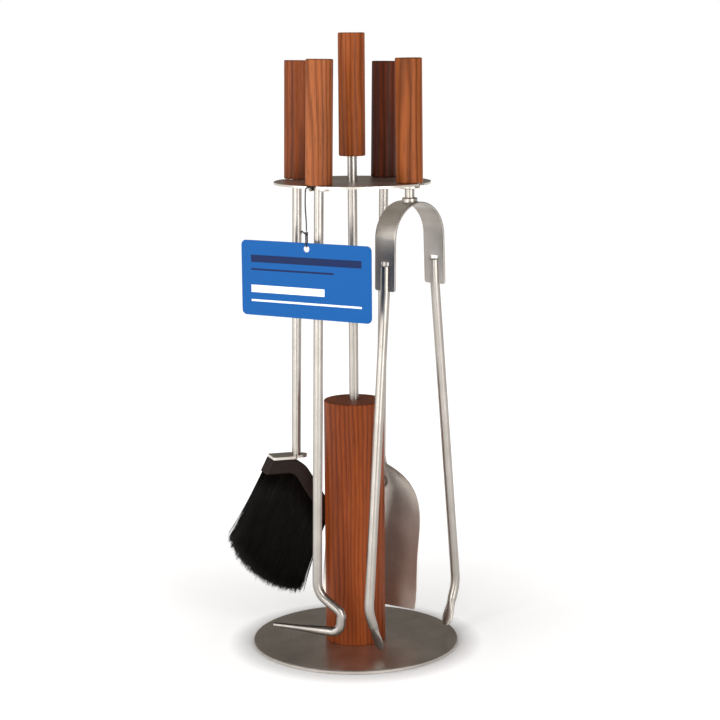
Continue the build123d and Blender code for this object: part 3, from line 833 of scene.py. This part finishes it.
def bristleTree():
    tree = bpy.data.node_groups.new("bristleTree", "GeometryNodeTree")
    face = tree.interface
    face.new_socket("Geometry", in_out="INPUT", socket_type="NodeSocketGeometry")
    sizes = {}
    kinds = {
        "Density": "Float",
        "Radius": "Float",
        "Curl": "Float",
        "Length spread": "Float",
        "Seed": "Int",
        "Material": "Material",
    }
    for name, kind in kinds.items():
        sizes[name] = face.new_socket(name, in_out="INPUT", socket_type="NodeSocket" + kind).identifier
    face.new_socket("Geometry", in_out="OUTPUT", socket_type="NodeSocketGeometry")

    def add(kind, settings=None, links=None):
        made = tree.nodes.new(kind)
        for key, value in (settings or {}).items():
            setattr(made, key, value)
        for key, value in (links or {}).items():
            if isinstance(value, bpy.types.NodeSocket):
                tree.links.new(value, made.inputs[key])
            else:
                made.inputs[key].default_value = value
        return made

    given = add("NodeGroupInput").outputs
    scatter = add("GeometryNodeDistributePointsOnFaces", {}, {
        "Mesh": given["Geometry"], "Density": given["Density"], "Seed": given["Seed"]
    })
    vectors = {"data_type": "FLOAT_VECTOR"}
    reach = add("GeometryNodeInputNamedAttribute", vectors, {"Name": "reach"}).outputs[0]
    stray = brushHead["stray"] * mm
    wander = add("FunctionNodeRandomValue", vectors, {
        0: (-stray, -stray, -stray), 1: (stray, stray, stray), "Seed": 11
    }).outputs[0]
    aim = add("ShaderNodeVectorMath", {"operation": "ADD"}, {0: reach, 1: wander}).outputs[0]
    turn = add("FunctionNodeAlignRotationToVector", {"axis": "Z"}, {"Vector": aim}).outputs[0]
    longest = add("ShaderNodeVectorMath", {"operation": "LENGTH"}, {0: aim}).outputs["Value"]
    chance = add("FunctionNodeRandomValue", {"data_type": "FLOAT"}, {"Seed": 23}).outputs[1]
    trim = add("ShaderNodeMath", {"operation": "MULTIPLY"}, {0: chance, 1: given["Length spread"]}).outputs[0]
    share = add("ShaderNodeMath", {"operation": "SUBTRACT"}, {0: 1.0, 1: trim}).outputs[0]
    length = add("ShaderNodeMath", {"operation": "MULTIPLY"}, {0: longest, 1: share}).outputs[0]
    size = add("ShaderNodeCombineXYZ", {}, {0: given["Radius"], 1: given["Radius"], 2: length}).outputs[0]
    hair = add("GeometryNodeMeshCone", {"fill_type": "NGON"}, {
        "Vertices": 3,
        "Side Segments": 4,
        "Radius Top": brushHead["tipShare"],
        "Radius Bottom": 1.0,
        "Depth": 1.0,
    })
    place = add("GeometryNodeInputPosition").outputs[0]
    height = add("ShaderNodeSeparateXYZ", {}, {0: place}).outputs[2]
    marked = add("GeometryNodeStoreNamedAttribute", {"data_type": "FLOAT", "domain": "POINT"}, {
        "Geometry": hair.outputs[0], "Name": "height", "Value": height
    })
    planted = add("GeometryNodeInstanceOnPoints", {}, {
        "Points": scatter.outputs[0], "Instance": marked.outputs[0], "Rotation": turn, "Scale": size
    })
    sway = add("FunctionNodeRandomValue", vectors, {
        0: (-1, -1, -1), 1: (1, 1, 1), "Seed": 37
    }).outputs[0]
    swayed = add("GeometryNodeStoreNamedAttribute", {"data_type": "FLOAT_VECTOR", "domain": "INSTANCE"}, {
        "Geometry": planted.outputs[0], "Name": "sway", "Value": sway
    })
    real = add("GeometryNodeRealizeInstances", {}, {0: swayed.outputs[0]})
    up = add("GeometryNodeInputNamedAttribute", {"data_type": "FLOAT"}, {"Name": "height"}).outputs[0]
    swayRead = add("GeometryNodeInputNamedAttribute", vectors, {"Name": "sway"}).outputs[0]
    bent = add("ShaderNodeMath", {"operation": "POWER"}, {0: up, 1: brushHead["curlPower"]}).outputs[0]
    amount = add("ShaderNodeMath", {"operation": "MULTIPLY"}, {0: bent, 1: given["Curl"]}).outputs[0]
    push = add("ShaderNodeVectorMath", {"operation": "SCALE"}, {0: swayRead, "Scale": amount}).outputs[0]
    curled = add("GeometryNodeSetPosition", {}, {"Geometry": real.outputs[0], "Offset": push})
    smooth = add("GeometryNodeSetShadeSmooth", {}, {"Geometry": curled.outputs[0]})
    coloured = add("GeometryNodeSetMaterial", {}, {
        "Geometry": smooth.outputs[0], "Material": given["Material"]
    })
    add("NodeGroupOutput", {}, {0: coloured.outputs[0]})
    return tree, sizes


def makeBristles():
    material = bristleFinish()
    tree, sizes = bristleTree()
    sheet = rootSheet()
    modifier = sheet.modifiers.new("bristles", "NODES")
    modifier.node_group = tree
    modifier[sizes["Density"]] = brushHead["perSquareMetre"]
    modifier[sizes["Radius"]] = brushHead["radius"] * mm
    modifier[sizes["Curl"]] = brushHead["curl"] * mm
    modifier[sizes["Length spread"]] = brushHead["lengthSpread"]
    modifier[sizes["Seed"]] = brushHead["seed"]
    modifier[sizes["Material"]] = material
    bundle = settled(sheet)
    print("bristle faces:", len(bundle.data.polygons))
    dress(bundle, material, "bristle", "brush", "brush_bristles")


makeBristles()
print("bristles made")


# floor, surroundings and two soft lamps
studio = {
    "floorWhite": 0.86,
    "glowNear": 0.55,        # round the base, rising from none just inside its rim: the dim ring is a painted contact shadow
    "glowFar": 0.95,
    "aroundTone": (0.27, 0.245, 0.22),
    "overheadShare": 0.35,   # of the light from the sides
    "fadeFrom": 0.15,        # how steeply up the side light starts and ends its fade
    "fadeTo": 0.6,
    "boxes": [
        # name, azimuth from the camera, distance, height, width, height of the box, power
        ("leftBox", -30.0, 1.9, 0.75, 0.75, 1.5, 17.0),
        ("sideBox", -68.0, 1.9, 0.65, 1.3, 1.4, 14.0),
        ("rightBox", 34.0, 1.9, 0.75, 1.0, 1.5, 22.0),
    ],
}


def makeStudio():
    floor = meshObject("floor", [(-30, -30, 0), (30, -30, 0), (30, 30, 0), (-30, 30, 0)], [(0, 1, 2, 3)])
    g = Graph("paper")
    haze = g.noise(g.place, 3.0, 2.0)
    white = studio["floorWhite"]
    x, y = g.place.parts()[:2]
    away = (x * x + y * y) ** 0.5
    # no glow under the base, rising over the first 30 mm outside it: a painted contact shadow; further out
    # the glow keeps rising with distance from the stand
    glow = away.shift(0.094, 0.125, 0.0, studio["glowNear"])
    glow = glow + away.shift(0.14, 0.55, 0.0, studio["glowFar"] - studio["glowNear"])
    paper = g.finish(
        Base_Color=g.mix(haze, (white, white, white), (white * 0.99, white * 0.99, white)),
        Roughness=0.9,
        Emission_Color=glow,
        Emission_Strength=1.0,
    )
    floor.data.materials.append(paper)

    world = bpy.data.worlds.new("studio")
    world.use_nodes = True
    tree = world.node_tree
    seen = tree.nodes.new("ShaderNodeLightPath")
    mixer = tree.nodes.new("ShaderNodeMixShader")
    around = tree.nodes["Background"]
    around.inputs["Color"].default_value = (*studio["aroundTone"], 1.0)
    place = tree.nodes.new("ShaderNodeTexCoord")
    split = tree.nodes.new("ShaderNodeSeparateXYZ")
    fade = tree.nodes.new("ShaderNodeMapRange")
    tree.links.new(place.outputs["Generated"], split.inputs[0])
    tree.links.new(split.outputs[2], fade.inputs["Value"])
    fade.inputs["From Min"].default_value = studio["fadeFrom"]
    fade.inputs["From Max"].default_value = studio["fadeTo"]
    fade.inputs["To Min"].default_value = 1.0
    fade.inputs["To Max"].default_value = studio["overheadShare"]
    tree.links.new(fade.outputs[0], around.inputs["Strength"])
    plain = tree.nodes.new("ShaderNodeBackground")
    plain.inputs["Color"].default_value = (1.0, 1.0, 1.0, 1.0)
    tree.links.new(seen.outputs["Is Camera Ray"], mixer.inputs[0])
    tree.links.new(around.outputs[0], mixer.inputs[1])
    tree.links.new(plain.outputs[0], mixer.inputs[2])
    tree.links.new(mixer.outputs[0], tree.nodes["World Output"].inputs["Surface"])
    bpy.context.scene.world = world
    bpy.context.scene.view_settings.view_transform = "Standard"

    for name, azimuth, distance, height, width, tall, power in studio["boxes"]:
        data = bpy.data.lights.new(name, "AREA")
        data.shape = "RECTANGLE"
        data.size = width
        data.size_y = tall
        data.energy = power
        lamp = bpy.data.objects.new(name, data)
        angle = math.radians(mainView["azimuth"] + azimuth)
        lamp.location = (distance * math.sin(angle), -distance * math.cos(angle), height)
        aim = Vector((0, 0, 0.3)) - lamp.location
        lamp.rotation_mode = "QUATERNION"
        lamp.rotation_quaternion = aim.to_track_quat("-Z", "Y")
        bpy.context.scene.collection.objects.link(lamp)


makeStudio()
print("studio lit")
